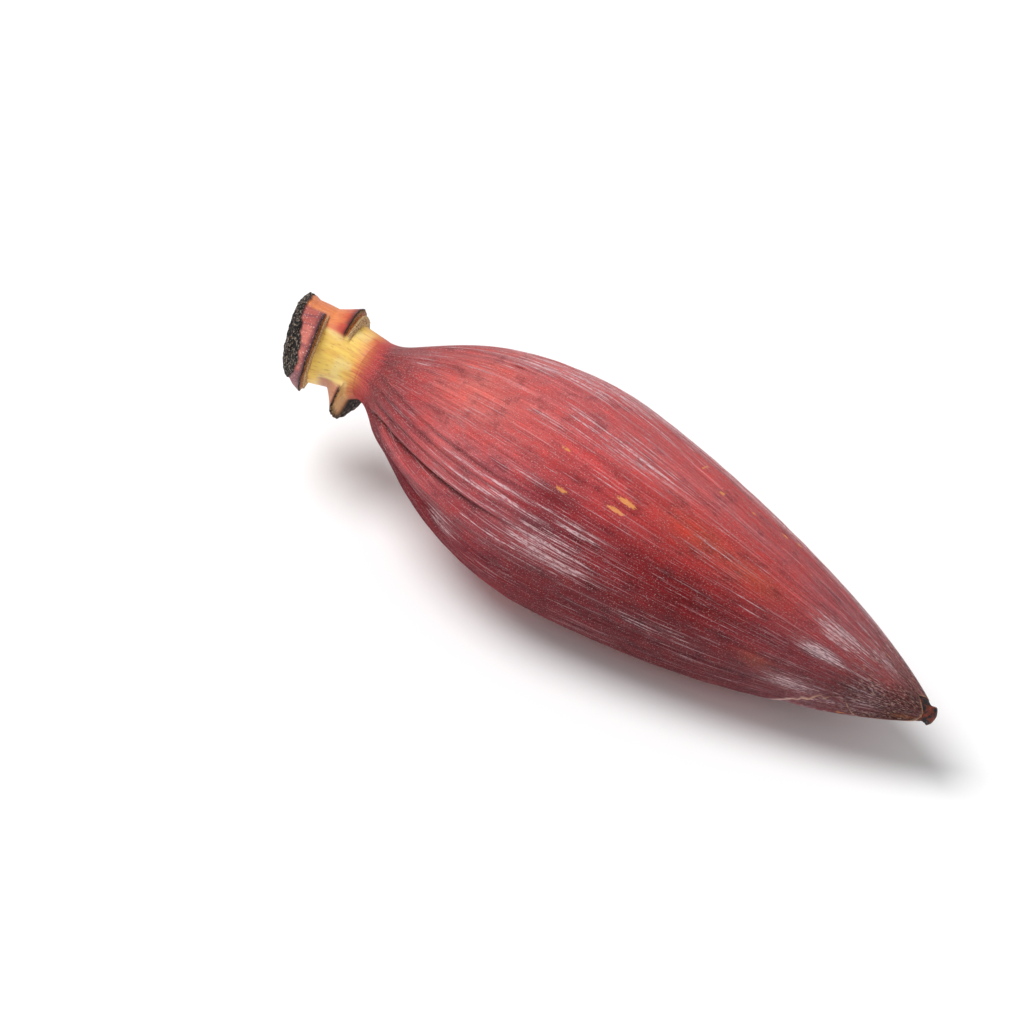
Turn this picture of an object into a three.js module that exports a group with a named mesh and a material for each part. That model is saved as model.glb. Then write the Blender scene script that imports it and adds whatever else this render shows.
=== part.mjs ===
// A banana blossom as it is picked: a cut stalk, three leathery outer bracts that overlap in a spiral, and the
// closed bud inside them. It lies on its side. Millimetres, +Z up. The origin is on the ground, on the small flat
// that its own weight presses into the belly, and the tip points along +X.
import * as THREE from "three";

// Driving dimensions, in millimetres and radians.
const BODY_LENGTH = 244; // from the bract bases to the tip
const BODY_RADIUS = 42; // at the belly
const STALK_LENGTH = 43; // from the bract bases to the cut end
const TILT = THREE.MathUtils.degToRad(6); // the tip lies this much lower than a level axis would put it
const PRESS = 1.6; // how far the belly is flattened where it rests
const BOW = 2.2; // how far the body's axis sags between its ends
const STALK_BEND = 0.003; // sideways shift of the stalk's axis for each square millimetre of distance
const BRACT_THICKNESS = 2.1;
const EDGE_SHARE = 0.4; // a bract's thickness at its margin, as a share of the full thickness
const EDGE_TAPER = 14; // the width of the strip over which a bract thins out to its margin
const THIN_RADIUS = 15; // the bracts get thinner where the body is slimmer than this
const GAP = 0.45; // clearance between neighbouring pieces
const LOBE = 0.018; // how far the section departs from a circle, as a share of the radius
const LOBE_TWIST = 0.004; // how far the lobes turn for each millimetre of length

// The outline of the body as shares of its length and radius: two Bezier curves that meet at the belly.
const OUTLINE = [
  [0, 0.3],
  [0.07, 0.58],
  [0.18, 1],
  [0.357, 1],
  [0.459, 0.981],
  [0.82, 0.667],
  [1, 0.05],
];

// The outer bracts, from the outermost inwards. An angle is measured round the axis from straight up, towards -Y.
const degrees = THREE.MathUtils.degToRad;
const BRACTS = [
  { name: "outer_bract", middle: degrees(66), half: degrees(78), taper: degrees(6), end: 242, colour: 0x8e3a42 },
  { name: "second_bract", middle: degrees(-68), half: degrees(80), taper: degrees(8), end: 240, colour: 0x97404a },
  { name: "third_bract", middle: degrees(150), half: degrees(80), taper: degrees(10), end: 237, colour: 0x9c4650 },
];
const APEX_LENGTH = 6; // the stretch over which a bract's rounded apex closes
const APEX_NARROW = 0.25; // a bract's width at its very end, as a share of the width before the apex

const BRACT_ROWS = 19;
const APEX_ROWS = 5;
const BRACT_COLUMNS = 24;
const BUD_SIDES = 32;
const STALK_SIDES = 40;

const outline = new THREE.CurvePath();
const outlinePoints = OUTLINE.map(([along, out]) => new THREE.Vector2(along * BODY_LENGTH, out * BODY_RADIUS));
for (const first of [0, 3]) {
  outline.add(new THREE.CubicBezierCurve(...outlinePoints.slice(first, first + 4)));
}
const OUTLINE_SAMPLES = 400;
const outlineSamples = outline.getSpacedPoints(OUTLINE_SAMPLES);

// The body's radius at distance x from the bract bases.
function bodyRadius(x) {
  const next = Math.max(1, outlineSamples.findIndex((point) => point.x >= x));
  if (x >= BODY_LENGTH) return outlineSamples.at(-1).y;
  const [a, b] = [outlineSamples[next - 1], outlineSamples[next]];
  return THREE.MathUtils.mapLinear(x, a.x, b.x, a.y, b.y);
}

// Distances along the body, evenly spaced on its outline.
function stations(from, to, count) {
  const lengths = outlineSamples.filter((point) => point.x > from && point.x < to).map((point) => point.x);
  return Array.from({ length: count + 1 }, (_, i) => {
    if (i === 0) return from;
    return i === count ? to : lengths[Math.round((i / count) * (lengths.length - 1))];
  });
}

// The axis, as the offset from the straight line through the bract bases and the tip.
const BEND_TOWARDS = degrees(133); // the side to which the stalk bends
function axisOffset(x) {
  if (x >= 0) return { y: 0, z: -BOW * Math.sin((Math.PI * x) / BODY_LENGTH) };
  const slope = (-BOW * Math.PI * x) / BODY_LENGTH;
  const bend = STALK_BEND * x * x;
  return { y: -bend * Math.sin(BEND_TOWARDS), z: slope + bend * Math.cos(BEND_TOWARDS) };
}

// A point at a distance x along the axis, at an angle and a radius from it, tilted but not yet set on the ground.
function tilted(x, angle, radius) {
  const offset = axisOffset(x);
  const point = new THREE.Vector3(x, offset.y - radius * Math.sin(angle), offset.z + radius * Math.cos(angle));
  return point.applyAxisAngle(new THREE.Vector3(0, 1, 0), TILT);
}

function lobed(x, angle) {
  return bodyRadius(x) * (1 + LOBE * Math.cos(3 * angle + LOBE_TWIST * x));
}

// The lowest point of the belly, which goes PRESS below the ground before it is flattened.
const underside = stations(0, BODY_LENGTH, 200).map((x) => tilted(x, Math.PI, lobed(x, Math.PI)));
const lowest = underside.reduce((low, point) => (point.z < low.z ? point : low));
const place = new THREE.Vector3(-lowest.x, 0, -lowest.z - PRESS);

function pointAt(x, angle, radius) {
  const point = tilted(x, angle, radius).add(place);
  if (Math.abs(point.z) < 1e-6) point.z = 0;
  return point;
}

// The outside of the whole body: lobed, and flattened at z = 0.
function envelope(x, angle) {
  const centre = pointAt(x, angle, 0);
  const drop = centre.z - pointAt(x, angle, 1).z;
  const free = lobed(x, angle);
  return drop > 0 ? Math.min(free, centre.z / drop) : free;
}

const smooth = (value, from, to) => THREE.MathUtils.smoothstep(value, from, to);

function turnBetween(a, b) {
  const turn = THREE.MathUtils.euclideanModulo(a - b + Math.PI, 2 * Math.PI) - Math.PI;
  return Math.abs(turn);
}

// Half the angle that a bract covers at distance x. It narrows towards the tip, and its apex is rounded.
function bractHalf(bract, x) {
  const side = bract.half - bract.taper * smooth(x, BODY_LENGTH / 2, bract.end);
  const intoApex = THREE.MathUtils.clamp((x - bract.end + APEX_LENGTH) / APEX_LENGTH, 0, 1);
  return side * Math.max(APEX_NARROW, Math.sqrt(1 - intoApex * intoApex));
}

// How far outside a bract's margin a place is, in millimetres. It is negative inside.
function outsideBract(bract, x, angle) {
  const beside = (turnBetween(angle, bract.middle) - bractHalf(bract, x)) * bodyRadius(x);
  return Math.max(beside, x - bract.end);
}

function bractThickness(bract, x, angle) {
  const full = BRACT_THICKNESS * Math.min(1, bodyRadius(x) / THIN_RADIUS);
  const inside = smooth(-outsideBract(bract, x, angle), 0, EDGE_TAPER);
  return full * THREE.MathUtils.lerp(EDGE_SHARE, 1, inside);
}

// How deep a bract pushes what lies under it below the envelope. What lies under it rises again past its margin.
const RISE_START = 2;
function depthUnder(bract, x, angle) {
  const rise = THREE.MathUtils.clamp(bodyRadius(x) / 2, 2.5, 12);
  const outside = outsideBract(bract, x, angle);
  const start = Math.min(RISE_START, rise / 3);
  return (bractThickness(bract, x, angle) + GAP) * (1 - smooth(outside, start, start + rise));
}

// The outer radius of the piece that has this many bracts over it.
function layerRadius(layer, x, angle) {
  const depth = BRACTS.slice(0, layer).reduce((sum, bract) => sum + depthUnder(bract, x, angle), 0);
  return envelope(x, angle) - depth;
}

// A closed geometry from rings of points, in order along +X. The cap lists the triangles that close the last ring.
function closedLoft(rings, cap) {
  const sides = rings[0].length;
  const lastRing = (rings.length - 1) * sides;
  const index = [];
  for (let ring = 0; ring + 1 < rings.length; ring++) {
    for (let side = 0; side < sides; side++) {
      const a = ring * sides + side;
      const b = ring * sides + ((side + 1) % sides);
      index.push(a, b, a + sides, b, b + sides, a + sides);
    }
  }
  for (const [a, b, c] of cap(sides)) {
    index.push(a, c, b);
    index.push(lastRing + a, lastRing + b, lastRing + c);
  }
  const geometry = new THREE.BufferGeometry();
  geometry.setAttribute("position", new THREE.Float32BufferAttribute(rings.flat().flatMap((p) => p.toArray()), 3));
  geometry.setIndex(index);
  return geometry;
}

// The cap of a bract's ring, whose first half is the outer face and whose second half is the inner one, reversed.
function stripCap(sides) {
  const triangles = [];
  for (let side = 0; side + 1 < sides / 2; side++) {
    const inner = sides - 1 - side;
    triangles.push([side, side + 1, inner], [side + 1, inner - 1, inner]);
  }
  return triangles;
}

// The cap of a round ring, as a fan from its first point.
function fanCap(sides) {
  return Array.from({ length: sides - 2 }, (_, side) => [0, side + 1, side + 2]);
}

// One bract: a thin shell from the stalk's shoulder to its rounded apex.
function bractGeometry(bract, layer) {
  const apexStart = bract.end - APEX_LENGTH;
  const rows = stations(GAP, apexStart, BRACT_ROWS);
  for (let row = 1; row <= APEX_ROWS; row++) {
    rows.push(apexStart + APEX_LENGTH * Math.sin((row / APEX_ROWS) * (Math.PI / 2)));
  }
  const rings = rows.map((x) => {
    const half = bractHalf(bract, x);
    const [outer, inner] = [[], []];
    for (let column = 0; column <= BRACT_COLUMNS; column++) {
      const angle = bract.middle + half * ((2 * column) / BRACT_COLUMNS - 1);
      const radius = layerRadius(layer, x, angle);
      outer.push(pointAt(x, angle, radius));
      inner.unshift(pointAt(x, angle, radius - bractThickness(bract, x, angle)));
    }
    return [...outer, ...inner];
  });
  return closedLoft(rings, stripCap);
}

// The bud: everything inside the outer bracts, with its blunt dry tip standing out past them.
const BUD_ROWS = 16;
const TIP_LENGTH = 22; // the end of the bud that needs short rows
const TIP_ROWS = 16;
function budGeometry() {
  const rows = [
    ...stations(GAP, BODY_LENGTH - TIP_LENGTH, BUD_ROWS),
    ...Array.from({ length: TIP_ROWS }, (_, i) => BODY_LENGTH - TIP_LENGTH * (1 - (i + 1) / TIP_ROWS)),
  ];
  const rings = rows.map((x) =>
    Array.from({ length: BUD_SIDES }, (_, side) => {
      const angle = (side / BUD_SIDES) * 2 * Math.PI;
      return pointAt(x, angle, layerRadius(BRACTS.length, x, angle));
    }),
  );
  return closedLoft(rings, fanCap);
}

// The stalk: a neck with three raised scars, each where an older bract was pulled off, and a rounded cut end. A scar
// stands out on one side and dies away round the stalk. The skin flares out to the scar's rim, and the broken face
// drops from the rim to the neck, on the side towards the body. A scar's ring leans, by a share of its radius.
const NECK_RADIUS = 11.6;
const CUT_RADIUS = 16;
const CUT_BULGE = 1.2; // the cut end is this much off centre
const CUT_SIDE = degrees(-49); // and bulges to this side
const CUT_LEAN = 0.33;
const LEAN_TOWARDS = degrees(38); // the side of a leaning ring that is nearest to the body
const SCARS = [
  { rim: 13, face: 6, flare: 9, lean: 0.14, middle: degrees(165), half: degrees(76), height: 10 },
  { rim: 21, face: 3.4, flare: 9, lean: 0.32, middle: degrees(-75), half: degrees(107), height: 4.6 },
  { rim: 33, face: 2.2, flare: 9, lean: 0.46, middle: degrees(88), half: degrees(95), height: 3.7 },
];

// A scar's height above the plain stalk, at a distance from the bract bases and an angle round the stalk.
function scarHeight(scar, distance, angle) {
  const around = 1 - smooth(turnBetween(angle, scar.middle), scar.half * 0.6, scar.half);
  const reach = distance < scar.rim ? scar.face : scar.flare;
  const along = Math.max(0, 1 - Math.abs(distance - scar.rim) / reach);
  return scar.height * around * along;
}

function stalkRadius(distance, angle) {
  const plain = THREE.MathUtils.lerp(NECK_RADIUS, CUT_RADIUS, smooth(distance, 4, STALK_LENGTH));
  return plain + Math.max(...SCARS.map((scar) => scarHeight(scar, distance, angle)));
}

// [distance, radius] pairs of the stalk's outline at one angle, from the bract bases to the cut end.
function stalkOutline(angle) {
  const shoulder = envelope(0, angle);
  const cut = CUT_RADIUS + CUT_BULGE * Math.cos(angle - CUT_SIDE);
  const rows = SCARS.flatMap(({ rim, face, flare }) => [rim - face, rim - face * 0.4, rim, rim + flare * 0.4]);
  return [
    [0, shoulder],
    [1.8, THREE.MathUtils.lerp(NECK_RADIUS, shoulder, 0.35)],
    [4, NECK_RADIUS],
    ...rows.sort((a, b) => a - b).map((distance) => [distance, stalkRadius(distance, angle)]),
    [STALK_LENGTH - 4, cut - 0.4],
    [STALK_LENGTH - 2.4, cut],
    [STALK_LENGTH - 1.1, cut - 1.2],
    [STALK_LENGTH - 0.3, cut - 4.2],
    [STALK_LENGTH, cut / 2],
  ];
}

// How far the ring at this distance leans, between the leans of the scars and of the cut.
const LEANS = [[0, 0], ...SCARS.map(({ rim, lean }) => [rim, lean]), [STALK_LENGTH, CUT_LEAN]];
function leanAt(distance) {
  const next = Math.max(1, LEANS.findIndex(([at]) => at >= distance));
  const [[from, leanFrom], [to, leanTo]] = [LEANS[next - 1], LEANS[next]];
  return THREE.MathUtils.mapLinear(distance, from, to, leanFrom, leanTo);
}

// The stalk's sections turn to stay nearly square to its bent axis.
const SECTION_TURN = 0.0072; // radians for each millimetre of distance
function stalkPoint(distance, angle, radius) {
  const turned = SECTION_TURN * distance * Math.cos(angle - BEND_TOWARDS);
  const leaning = leanAt(distance) * Math.cos(angle - LEAN_TOWARDS);
  return pointAt((turned + leaning) * radius - distance, angle, radius);
}

function stalkGeometry() {
  const columns = Array.from({ length: STALK_SIDES }, (_, side) => {
    const angle = (side / STALK_SIDES) * 2 * Math.PI;
    return stalkOutline(angle).map(([distance, radius]) => stalkPoint(distance, angle, radius));
  });
  const rings = columns[0].map((_, ring) => columns.map((column) => column[ring])).reverse();
  return closedLoft(rings, fanCap);
}

function piece(name, geometry, color, roughness) {
  const mesh = new THREE.Mesh(geometry, new THREE.MeshStandardMaterial({ color, roughness, metalness: 0 }));
  mesh.name = name;
  return mesh;
}

const blossom = new THREE.Group();
blossom.add(piece("stalk", stalkGeometry(), 0xd9a85a, 0.7));
BRACTS.forEach((bract, layer) => blossom.add(piece(bract.name, bractGeometry(bract, layer), bract.colour, 0.5)));
blossom.add(piece("inner_bud", budGeometry(), 0x7a3a30, 0.6));

export default blossom;
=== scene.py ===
"""A banana blossom lying on a pale floor.

Each piece of the CAD model is replaced by a finely shaped one that follows the same formulas. Shapes are
worked out in millimetres, in the CAD's frame, and scaled to metres at the end. A place on the blossom is
(x, angle): the distance along its axis from the bract bases, and the angle round the axis from straight up,
towards -Y. Distances down the stalk are measured the other way, from the bract bases to the cut.
"""

import math

import bpy
import numpy as np
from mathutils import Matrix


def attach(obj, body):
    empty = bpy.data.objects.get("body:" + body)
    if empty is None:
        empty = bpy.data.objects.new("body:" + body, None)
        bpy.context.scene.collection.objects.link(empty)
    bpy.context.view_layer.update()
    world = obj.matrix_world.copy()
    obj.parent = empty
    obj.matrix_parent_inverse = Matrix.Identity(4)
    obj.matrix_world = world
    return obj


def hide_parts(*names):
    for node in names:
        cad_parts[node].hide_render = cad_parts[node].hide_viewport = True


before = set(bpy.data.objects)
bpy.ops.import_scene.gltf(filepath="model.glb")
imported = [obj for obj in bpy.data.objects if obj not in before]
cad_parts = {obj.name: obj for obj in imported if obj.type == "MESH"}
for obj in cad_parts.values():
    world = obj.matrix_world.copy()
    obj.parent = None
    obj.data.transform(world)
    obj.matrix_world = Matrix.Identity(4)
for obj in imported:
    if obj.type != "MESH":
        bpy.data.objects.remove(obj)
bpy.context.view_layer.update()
MM = 0.001

# ---- the blossom's shape, as in the CAD model

BODY_LENGTH = 244.0  # from the bract bases to the tip
BODY_RADIUS = 42.0  # at the belly
STALK_LENGTH = 43.0  # from the bract bases to the cut end
TILT = math.radians(6)  # the tip lies this much lower than a level axis would put it
PRESS = 1.6  # how far the belly is flattened where it rests
BOW = 2.2  # how far the body's axis sags between its ends
STALK_BEND = 0.003  # sideways shift of the stalk's axis for each square millimetre of distance
BEND_TOWARDS = math.radians(133)  # the side to which the stalk bends
SECTION_TURN = 0.0072  # how far the stalk's rings turn with the bend, for each millimetre of distance
LOBE = 0.018  # how far the section departs from a circle, as a share of the radius
LOBE_TWIST = 0.004  # how far the lobes turn for each millimetre of length
NECK_RADIUS = 11.6
CUT_RADIUS = 16.0
CUT_BULGE = 1.2  # the cut end is this much off centre
CUT_SIDE = math.radians(-49)  # and bulges to this side
CUT_LEAN = 0.33  # how far the cut leans, as a share of its radius
LEAN_TOWARDS = math.radians(38)  # the side of a leaning ring that is nearest to the body

# The outline of the body as shares of its length and radius: two Bezier curves that meet at the belly.
OUTLINE = ((0, 0.3), (0.07, 0.58), (0.18, 1), (0.357, 1), (0.459, 0.981), (0.82, 0.667), (1, 0.05))
OUTLINE_SAMPLES = 300  # for each curve
FLARE_START = -1.4  # where the body starts to flare out of the neck
FLARE_SOFTNESS = 2.6
FLARE_END = (2, 12)  # the stretch over which the flare passes into the outline

BRACT_THICKNESS = 2.1
EDGE_SHARE = 0.33  # a bract's thickness at its margin, as a share of the full thickness
EDGE_TAPER = 14.0  # the width of the strip over which a bract thins out to its margin
THIN_RADIUS = 15.0  # the bracts get thinner where the body is slimmer than this
GAP = 0.06  # between neighbouring bracts, which press together
BRACT_BASE = -7.0  # the bracts run this far down the neck, where they have grown together with it
BASE_SHARE = 0.03  # their thickness there, as a share of the full thickness
FULL_FROM = 16.0  # where they reach the full thickness

# The bracts from the outermost inwards. Their middles, half widths and tapers are in degrees.
BRACTS = {
    "outer_bract": dict(middle=66, half=78, taper=6, end=242.0, seed=11),
    "second_bract": dict(middle=-68, half=80, taper=8, end=240.0, seed=23),
    "third_bract": dict(middle=150, half=80, taper=10, end=237.0, seed=37),
}
APEX_LENGTH = 6.0  # the stretch over which a bract's rounded apex closes
APEX_NARROW = 0.25  # a bract's width at its very end, as a share of the width before the apex


def smooth(value, low, high):
    """A soft step from 0 at low to 1 at high."""
    t = np.clip((value - low) / (high - low), 0, 1)
    return t * t * (3 - 2 * t)


def lerp(a, b, t):
    return a + (b - a) * t


def bezier(points, t):
    (x0, y0), (x1, y1), (x2, y2), (x3, y3) = points
    a, b, c, d = (1 - t) ** 3, 3 * (1 - t) ** 2 * t, 3 * (1 - t) * t**2, t**3
    return a * x0 + b * x1 + c * x2 + d * x3, a * y0 + b * y1 + c * y2 + d * y3


def outline_samples():
    t = np.linspace(0, 1, OUTLINE_SAMPLES)
    first, second = bezier(OUTLINE[:4], t), bezier(OUTLINE[3:], t)
    along = np.concatenate([first[0], second[0][1:]]) * BODY_LENGTH
    out = np.concatenate([first[1], second[1][1:]]) * BODY_RADIUS
    return along, out


OUTLINE_X, OUTLINE_R = outline_samples()
BASE_SLOPE = (OUTLINE[1][1] - OUTLINE[0][1]) * BODY_RADIUS / (OUTLINE[1][0] * BODY_LENGTH)


def body_radius(x):
    """The body's radius. It flares out of the neck in a soft curve, which the CAD model has as a corner."""
    flare = FLARE_SOFTNESS * np.logaddexp(0, (x - FLARE_START) / FLARE_SOFTNESS)
    return lerp(NECK_RADIUS + BASE_SLOPE * flare, np.interp(x, OUTLINE_X, OUTLINE_R), smooth(x, *FLARE_END))


def placed(x, angle, radius):
    """Points in the CAD's frame but for the shift that sets the blossom on the ground."""
    before = np.minimum(x, 0)
    bend = STALK_BEND * before**2
    sag = np.where(x >= 0, -BOW * np.sin(np.pi * x / BODY_LENGTH), -BOW * np.pi * before / BODY_LENGTH)
    y = -bend * math.sin(BEND_TOWARDS) - radius * np.sin(angle)
    z = sag + bend * math.cos(BEND_TOWARDS) + radius * np.cos(angle)
    c, s = math.cos(TILT), math.sin(TILT)
    return np.stack([x * c + z * s, y, z * c - x * s], axis=-1)


def lobed(x, angle):
    return body_radius(x) * (1 + LOBE * np.cos(3 * angle + LOBE_TWIST * x))


def ground_shift():
    """The shift that puts the origin on the ground, under the lowest point of the belly."""
    x = np.linspace(0, BODY_LENGTH, 2001)
    under = placed(x, np.full_like(x, np.pi), lobed(x, np.pi))
    lowest = under[under[:, 2].argmin()]
    return np.array([-lowest[0], 0, -lowest[2] - PRESS])


SHIFT = ground_shift()


def point_at(x, angle, radius):
    return placed(x, angle, radius) + SHIFT


NO_LIMIT = 1000.0


def ground_limit(x, angle):
    """The radius at which a place on the blossom would touch the ground."""
    least_drop = 1e-3
    centre = point_at(x, angle, 0 * x)[..., 2]
    drop = centre - point_at(x, angle, 0 * x + 1)[..., 2]
    return np.where(drop > least_drop, centre / np.maximum(drop, least_drop), NO_LIMIT)


def turn(angle, middle):
    """The angle from the middle, between minus and plus half a turn."""
    return (angle - middle + np.pi) % (2 * np.pi) - np.pi


def blob(x, angle, at, turned, reach, round_reach):
    """A soft patch: 1 in its middle, and 0 well past its reaches along the body and round it."""
    away = np.degrees(turn(angle, math.radians(turned)))
    return np.exp(-(((x - at) / reach) ** 2) - (away / round_reach) ** 2)


# ---- repeatable noise for shapes and colours


def lattice(i, j, seed):
    """A number from -1 to 1 for each pair of whole numbers, always the same one."""
    h = (i.astype(np.int64) * 374761393 + j.astype(np.int64) * 668265263 + seed * 974634211) & 0xFFFFFFFF
    h = ((h ^ (h >> 13)) * 1274126177) & 0xFFFFFFFF
    return (h ^ (h >> 16)) / 2.0**31 - 1


def noise(u, v, seed, period=None):
    """Smooth noise from -1 to 1, with one bump for each unit of u and v. It repeats in u after a period."""
    u, v = np.broadcast_arrays(u, v)
    i, j = np.floor(u), np.floor(v)
    s, t = smooth(u - i, 0, 1), smooth(v - j, 0, 1)
    i2 = i + 1
    if period:
        i, i2 = i % period, i2 % period
    low = lerp(lattice(i, j, seed), lattice(i2, j, seed), s)
    high = lerp(lattice(i, j + 1, seed), lattice(i2, j + 1, seed), s)
    return lerp(low, high, t)


def around(angle, count, along, seed):
    """Noise round the axis, with this many bumps in a full turn."""
    return noise(angle / (2 * np.pi) * count, along, seed, count)


# ---- the bracts

# The lower margin of the outer bract is torn back near the tip.
TEAR_START, TEAR_DEEPEST, TEAR_END = 184.0, 218.0, 222.0
TEAR_DEPTH = math.radians(57)


def tear(x):
    """How far back the margin is torn, as a share of the deepest tear."""
    opening = np.clip((x - TEAR_START) / (TEAR_DEEPEST - TEAR_START), 0, 1)
    closing = np.clip((TEAR_END - x) / (TEAR_END - TEAR_DEEPEST), 0, 1)
    ragged = 1 + 0.12 * noise(x / 1.3, 2.5, 5)
    return np.minimum(opening**1.1, closing) * ragged


def margins(bract, x):
    """How far the bract reaches from its middle line on each side, in radians."""
    side = np.radians(bract["half"] - bract["taper"] * smooth(x, BODY_LENGTH / 2, bract["end"]))
    into_apex = np.clip((x - bract["end"] + APEX_LENGTH) / APEX_LENGTH, 0, 1)
    close = np.maximum(APEX_NARROW, np.sqrt(1 - into_apex**2))
    radius = np.maximum(body_radius(x), 4)
    wave = (0.7 * noise(x / 17, 0.5, bract["seed"]) + 0.25 * noise(x / 4, 1.5, bract["seed"])) / radius
    low = (side + wave) * close
    high = (side - wave) * close
    if bract is BRACTS["outer_bract"]:
        high = high - TEAR_DEPTH * tear(x)
    return low, high


def outside(bract, x, angle):
    """How far outside the bract's margin a place is, in millimetres. It is negative inside."""
    low, high = margins(bract, x)
    away = turn(angle, math.radians(bract["middle"]))
    beside = np.maximum(away - high, -low - away) * body_radius(x)
    return np.maximum(beside, x - bract["end"])


def thickness(bract, x, angle):
    """A bract's thickness: almost none where it grows out of the neck, and thinner towards its margins."""
    full = BRACT_THICKNESS * np.minimum(1, body_radius(x) / THIN_RADIUS)
    full = full * lerp(BASE_SHARE, 1, smooth(x, BRACT_BASE, FULL_FROM))
    inside = smooth(-outside(bract, x, angle), 0, EDGE_TAPER)
    return full * lerp(EDGE_SHARE, 1, inside)


def depth_under(bract, x, angle):
    """How far a bract presses in what lies under it. It fades in a soft step just outside the margin."""
    rise = np.clip(body_radius(x) / 2, 2.5, 12)
    start = np.minimum(1.2, rise / 3)
    out = outside(bract, x, angle)
    return (thickness(bract, x, angle) + GAP) * (1 - smooth(out, start, start + rise))


# The deep crease in the outer bract's lower half: its angle at distances along the body.
CREASE_X = (-8, 0, 5, 10, 20, 30, 40, 60, 75, 90, 130)
CREASE_ANGLE = (112, 104, 95, 87.5, 81, 78, 76, 74, 73, 71, 69)

# Lines beside the crease: distance from it, height and width. A negative distance lies above it.
CREASE_FOLDS = ((0, -1.6, 0.9), (0, -0.6, 3), (6, 1.0, 4), (-2.6, 0.35, 1.3))
SMALL_FOLDS = ((-5.2, -0.5, 0.7), (-9.5, -0.55, 0.8), (-14, -0.4, 0.8), (-7.3, 0.3, 1.2))
VALLEY = (14, -0.9, 4.5)
FOLD_SHADOWS = ((0, 1.0, 1.1), (-5.2, 0.6, 0.8), (-9.5, 0.6, 0.9), (-14, 0.6, 0.9))
FOLD_RIDGES = ((-2.6, 1.0, 1.0), (-7.3, 1.0, 1.1), (-11.8, 1.0, 1.1))


def beside_crease(x, angle):
    """The distance from the crease round the body, in millimetres. It is positive below the crease."""
    return (np.degrees(angle) - np.interp(x, CREASE_X, CREASE_ANGLE)) * np.pi / 180 * body_radius(x)


def lines(beside, rows):
    """The summed height of soft lines that run beside the crease."""
    return sum(height * np.exp(-(((beside - at) / width) ** 2)) for at, height, width in rows)


def stretch(x, start, full, fade, end):
    """1 from full to fade along the body, with soft ends that reach 0 at start and end."""
    return smooth(x, start, full) * (1 - smooth(x, fade, end))


def crease(x, angle):
    """The height that the crease and the smaller folds beside it give the skin."""
    beside = beside_crease(x, angle)
    deep = stretch(x, 2, 16, 45, 120) * lines(beside, CREASE_FOLDS)
    valley = stretch(x, 14, 32, 45, 75) * lines(beside, [VALLEY])
    return deep + valley + stretch(x, 4, 20, 70, 115) * lines(beside, SMALL_FOLDS)


def fold_shadow(x, angle):
    """1 in the bottoms of the crease and the small folds, where the skin is darkest."""
    return stretch(x, 1, 12, 60, 115) * lines(beside_crease(x, angle), FOLD_SHADOWS)


def fold_ridge(x, angle):
    """1 on the ridges between the folds, which carry the most bloom."""
    return stretch(x, 30, 60, 95, 125) * lines(beside_crease(x, angle), FOLD_RIDGES)


def ribs(x, angle, seed):
    """The lengthwise relief of a bract's skin: broad waves, ribs and fine veins."""
    share = np.minimum(1, body_radius(x) / 30)
    calm = smooth(x, -4, 14) * share
    broad = 0.45 * noise(angle * 3.2, x / 55, seed)
    rib = 0.32 * noise(angle * 13, x / 120, seed + 1)
    vein = 0.2 * noise(angle * 31, x / 70, seed + 2)
    fine = 0.08 * noise(angle * 64, x / 45, seed + 3)
    dents = 0.10 * noise(angle * 11, x / 5, seed + 4)
    return calm * (broad + rib + vein + fine + dents)


def exposed(layer, x, angle):
    """1 where no bract lies over this layer, and 0 where one does."""
    clear = np.ones_like(x * angle)
    for bract in list(BRACTS.values())[:layer]:
        clear = clear * smooth(outside(bract, x, angle), 0.3, 4)
    return clear


def under_bracts(layer, x, angle, radius):
    """The radius of a layer once the ground and the bracts over it have pressed it in."""
    pressed = np.minimum(radius, ground_limit(x, angle))
    for bract in list(BRACTS.values())[:layer]:
        pressed = pressed - depth_under(bract, x, angle)
    return pressed


SWELLING = (7, 132, 8, 34)  # the outer bract bulges at its base, under the crease
SWELLING_HEIGHT = 1.3


def skin_radius(layer, x, angle, seed):
    """The radius of a bract's outside."""
    relief = ribs(x, angle, seed) * exposed(layer, x, angle)
    if layer == 0:
        relief = relief + crease(x, angle) + SWELLING_HEIGHT * blob(x, angle, *SWELLING)
    return under_bracts(layer, x, angle, lobed(x, angle) + relief)


# ---- colours


def linear(rgb):
    """A colour from 0 to 255, as the linear shares of light that the materials need."""
    c = np.asarray(rgb, dtype=float) / 255
    return np.where(c <= 0.04045, c / 12.92, ((c + 0.055) / 1.055) ** 2.4)


YELLOW = (248, 210, 106)
ORANGE = (230, 142, 86)
ROSE = (196, 76, 76)
CREAM = (226, 176, 120)

# The skin's colours along the body, at four angles round it. Angles in these tables are in degrees.
# The column for the lower side (98) is partly the skin's own dark red and partly painted shade. The column
# for the top (-8), which the bracts also take along the upper outline, is partly the skin's own colour and
# partly a painted pale sheen.
TONE_ANGLES = (-8, 22, 57, 98)
TONES = (
    (4, (140, 66, 70), (134, 54, 60), (142, 56, 62), (126, 42, 50)),
    (25, (168, 80, 82), (168, 70, 72), (158, 60, 66), (104, 16, 30)),
    (50, (190, 104, 104), (204, 104, 98), (192, 92, 94), (118, 30, 40)),
    (75, (192, 96, 98), (200, 92, 90), (174, 82, 88), (126, 46, 54)),
    (100, (188, 88, 90), (188, 74, 76), (146, 50, 58), (114, 42, 48)),
    (130, (188, 90, 92), (186, 66, 66), (132, 36, 42), (106, 44, 50)),
    (155, (184, 90, 92), (174, 58, 58), (110, 18, 24), (102, 42, 48)),
    (180, (176, 88, 92), (168, 62, 62), (120, 38, 44), (104, 46, 52)),
    (205, (160, 86, 92), (154, 70, 74), (124, 54, 60), (116, 62, 68)),
    (232, (146, 84, 86), (146, 76, 78), (116, 54, 58), (86, 38, 40)),
)
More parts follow.
